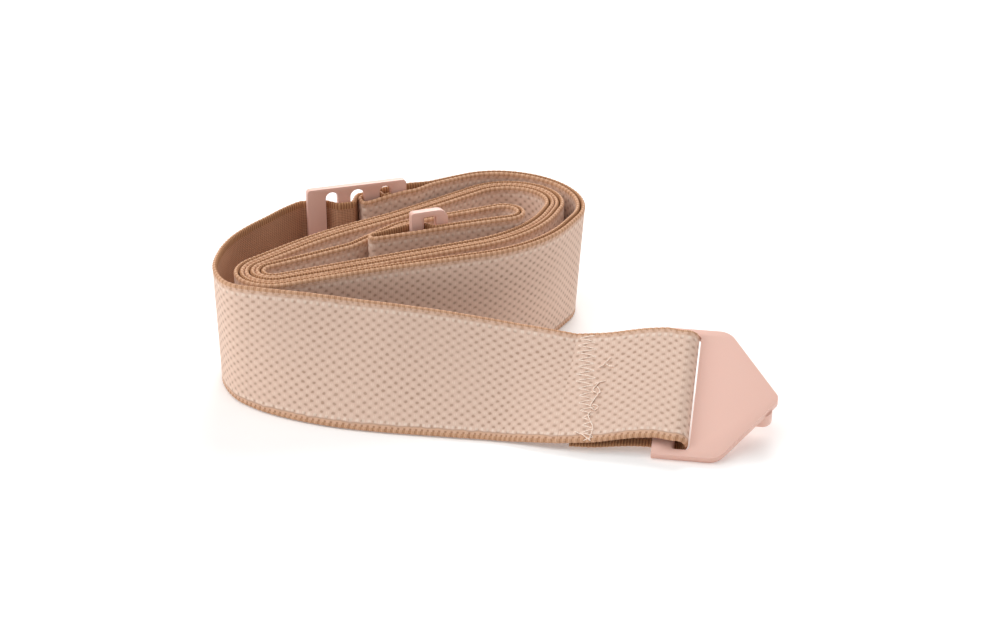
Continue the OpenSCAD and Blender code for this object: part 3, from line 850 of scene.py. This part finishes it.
def frontStitch():
    points = []
    low, high = frontSeam["height"][0], frontSeam["height"][-1]
    count = int((high - low) / frontSeam["pitch"])
    for k in range(count + 1):
        v = low + (high - low) * k / count
        ends = frontSeam["right"] if k % 2 else frontSeam["left"]
        uneven = math.sin(k * 2.3) * frontSeam["jitter"]
        points.append((float(np.interp(v, frontSeam["height"], ends)) + uneven, v))
    line = []
    for (u1, v1), (u2, v2) in zip(points, points[1:]):
        for k in range(frontSeam["steps"]):
            t = k / frontSeam["steps"]
            u, v = u1 + (u2 - u1) * t, v1 + (v2 - v1) * t
            # dips in at the needle holes
            sink = frontSeam["hole"] - frontSeam["arch"] * math.sin(math.pi * t) ** frontSeam["archPower"]
            line.append(frontSeat.at(u, frontFace(u) + sink, v))
    return line


# loose thread ends, as places on the hook's face: along it from the bar, and up it
looseThreads = {
    "topTail": [(-14, 21), (-13, 22), (-12, 23.5), (-11.5, 24)],
    "topBranch": [(-12.5, 22), (-11.5, 21.5), (-10.5, 21.5)],
    "middleTail": [(-14.5, 16.5), (-13.5, 17), (-12, 17.5)],
    "middleCurl": [(-13.5, 17), (-14.5, 15.5), (-14.5, 14.5), (-13.5, 14), (-13, 14.5), (-14, 16)],
    "lowerCurl": [(-13, 14.5), (-14.5, 11.5), (-14.5, 10), (-13.5, 9.5), (-13, 10.5), (-14.5, 11)],
    "hangingTail": [(-14.5, 9), (-15, 8), (-14, 6), (-13.5, 4.5), (-14, 1)],
    "bottomTail": [(-17.5, 3.5), (-16, 3), (-14.5, 2), (-13.5, 1)],
}
loose = {"steps": 6, "off": 0.3, "wave": 0.12, "lowest": 0.2}


# a curve through the places, wavering a little off the webbing and kept above its lower edge
def looseLine(points):
    line = []
    ends = np.array([points[0], *points, points[-1]], float)
    for i in range(len(points) - 1):
        for k in range(loose["steps"]):
            (u, v), go = onSpline(*ends[i:i + 4], k / loose["steps"])
            y = frontFace(u) - loose["off"] - loose["wave"] * math.sin(len(line))
            line.append(frontSeat.at(u, y, max(v, frontRise(u) + loose["lowest"])))
    return line


frontLines = [frontStitch()] + [looseLine(points) for points in looseThreads.values()]
makeThread("frontSeamThread", frontLines, frontSeam["thick"], "free_end", "front_seam")

sliderSeam = {
    "from": edge4 + 0.3, "width": 2.3, "pitch": 1.4, "above": 0.9, "tall": 20, "thick": 0.3, "proud": 0.1,
}


def sliderStitch():
    line = []
    count = int(sliderSeam["tall"] / sliderSeam["pitch"])
    slope = (loopStart[1] - loopFold[1] + bend) / (loopStart[0] - loopFold[0])
    for k in range(count):
        u = sliderSeam["from"] + (k % 2) * sliderSeam["width"]
        v = sliderRise(u) + sliderSeam["above"] + k * sliderSeam["tall"] / (count - 1)
        y = loopStart[1] + (u - loopStart[0]) * slope - halfThick - sliderSeam["proud"]
        line.append(sliderSeat.at(u, y, v))
    return line


makeThread("sliderSeamThread", [sliderStitch()], sliderSeam["thick"], "slider", "slider_seam")
print("stitching made")


studio = {
    "floor": colour(250, 249, 248), "floorSize": 6, "floorRoughness": 0.9, "glow": 0.12,
    "white": (1, 1, 1, 1), "world": 0.36, "aim": (0, 0, 0.01),
}


def makeStage():
    bpy.ops.object.select_all(action="DESELECT")
    bpy.ops.mesh.primitive_plane_add(size=studio["floorSize"], location=(0, 0, 0))
    floor = bpy.context.view_layer.objects.active
    floor.name = "floor"
    material, start, shader = newMaterial("pale floor")
    shader.inputs["Base Color"].default_value = studio["floor"]
    shader.inputs["Roughness"].default_value = studio["floorRoughness"]
    shader.inputs["Specular IOR Level"].default_value = 0.0
    shader.inputs["Emission Color"].default_value = studio["white"]
    shader.inputs["Emission Strength"].default_value = studio["glow"]
    floor.data.materials.append(material)
    world = bpy.data.worlds.new("soft studio")
    bpy.context.scene.world = world
    world.use_nodes = True
    # white to the camera and in reflections, dim as a light
    start = Wire(world.node_tree, None)
    seen = start.node("ShaderNodeLightPath", out="Is Camera Ray")
    for kind in ("Is Glossy Ray", "Is Transmission Ray"):
        seen = seen.maths("MAXIMUM", start.node("ShaderNodeLightPath", out=kind))
    backdrop = world.node_tree.nodes["Background"]
    backdrop.inputs["Color"].default_value = studio["white"]
    feed(seen * (1 - studio["world"]) + studio["world"], backdrop, "Strength")


lamps = {
    "overheadSoftbox": {"power": 2.1, "size": 0.7, "place": (-0.15, -0.15, 0.75)},
    "backSoftbox": {"power": 3.75, "size": 0.5, "place": (0.1, 0.6, 0.5)},
    "leftSoftbox": {"power": 2.25, "size": 0.5, "place": (-0.7, -0.1, 0.4)},
    "rightSoftbox": {"power": 0.8, "size": 0.5, "place": (0.7, 0.1, 0.4)},
}


def makeLamp(name, power, size, place):
    light = bpy.data.lights.new(name, "AREA")
    light.shape = "DISK"
    light.size = size
    light.energy = power
    lamp = bpy.data.objects.new(name, light)
    bpy.context.scene.collection.objects.link(lamp)
    lamp.location = place
    lamp.rotation_mode = "QUATERNION"
    lamp.rotation_quaternion = (Vector(studio["aim"]) - Vector(place)).to_track_quat("-Z", "Y")


makeStage()
for name, lamp in lamps.items():
    makeLamp(name, **lamp)

shot = {"pitch": 25, "distance": 490.8, "lens": 68.4, "sensor": 36, "nearest": 10}
camera = bpy.data.objects.new("camera", bpy.data.cameras.new("camera"))
bpy.context.scene.collection.objects.link(camera)
camera.data.lens = shot["lens"]
camera.data.sensor_width = shot["sensor"]
tilt = math.radians(shot["pitch"])
camera.location = (lay + Vector((0, -math.cos(tilt), math.sin(tilt))) * shot["distance"]) * mm
camera.rotation_euler = (math.pi / 2 - tilt, 0, 0)
camera.data.clip_start = shot["nearest"] * mm
bpy.context.scene.camera = camera
bpy.context.scene.view_settings.view_transform = "Standard"
print("stage, light and camera set")
